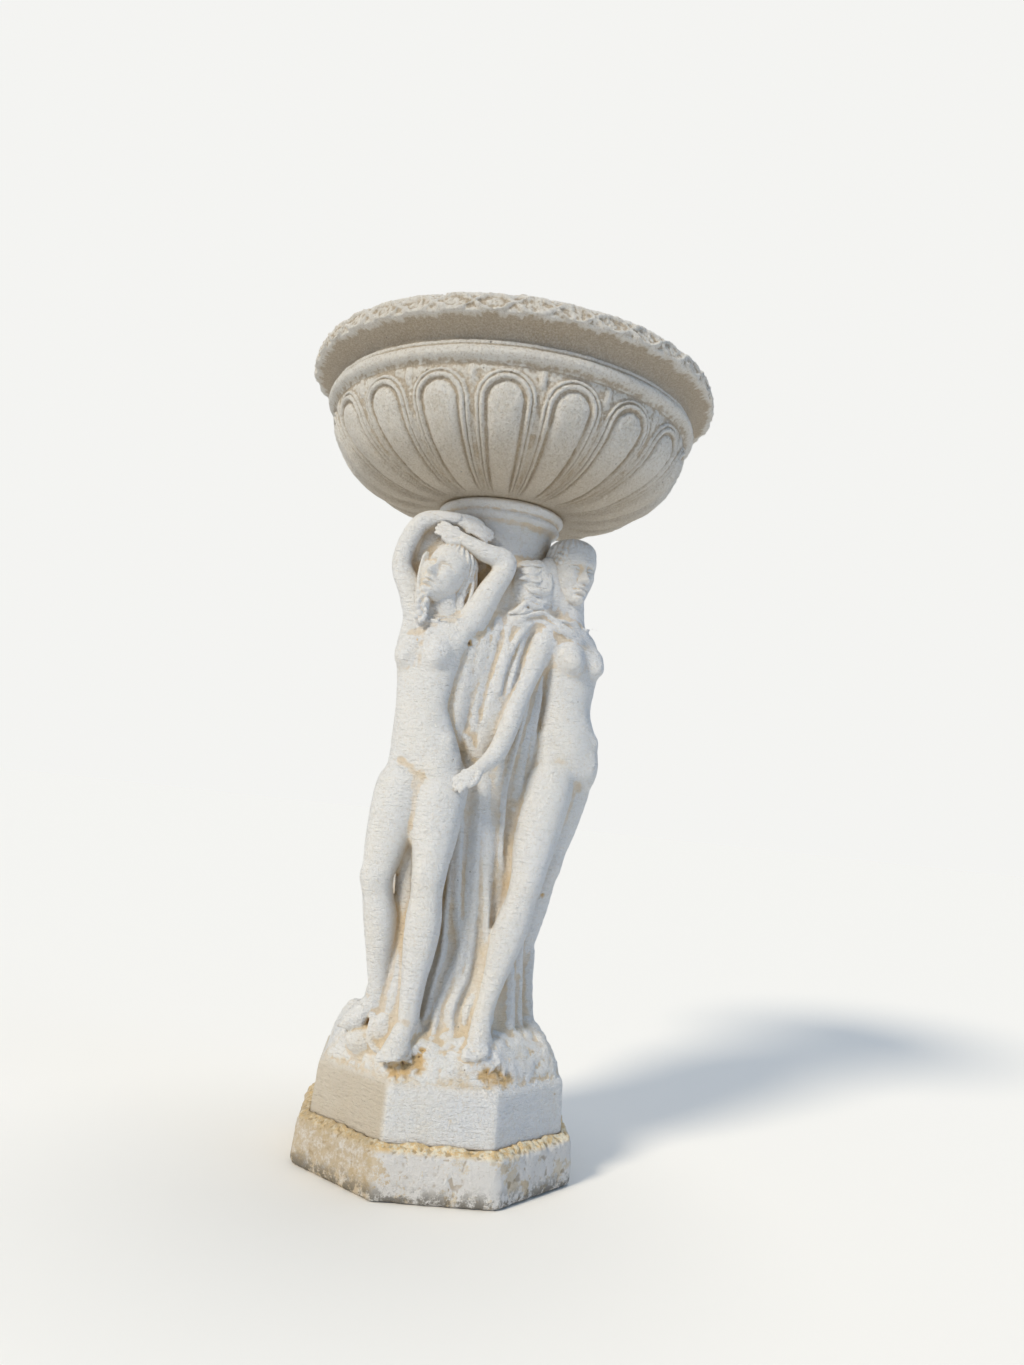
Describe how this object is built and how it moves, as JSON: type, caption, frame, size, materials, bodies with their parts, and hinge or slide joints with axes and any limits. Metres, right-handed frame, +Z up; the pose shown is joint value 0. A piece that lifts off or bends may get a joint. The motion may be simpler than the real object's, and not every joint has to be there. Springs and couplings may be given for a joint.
{
  "type": "planter statue",
  "caption": "Concrete planter statue: standing figures round a draped column on an octagonal block and plinth carry a wide gadrooned bowl.",
  "frame": {"origin": "on the floor at the middle of the plinth's underside", "axes": "+Z up along the column's axis, -Y towards the side that the picture was taken from, +X to that viewer's right"},
  "size_m": [0.5, 0.4992, 0.9466],
  "materials": {
    "bare_concrete": "rough cast concrete with remains of paint",
    "painted_concrete": "cast concrete, worn off-white paint",
    "weathered_concrete": "weathered sandy cast concrete"
  },
  "bodies": {
    "root": {"base_plinth": "bare_concrete", "figure_pedestal": "painted_concrete", "planter_bowl": "weathered_concrete"}
  },
  "joints": []
}
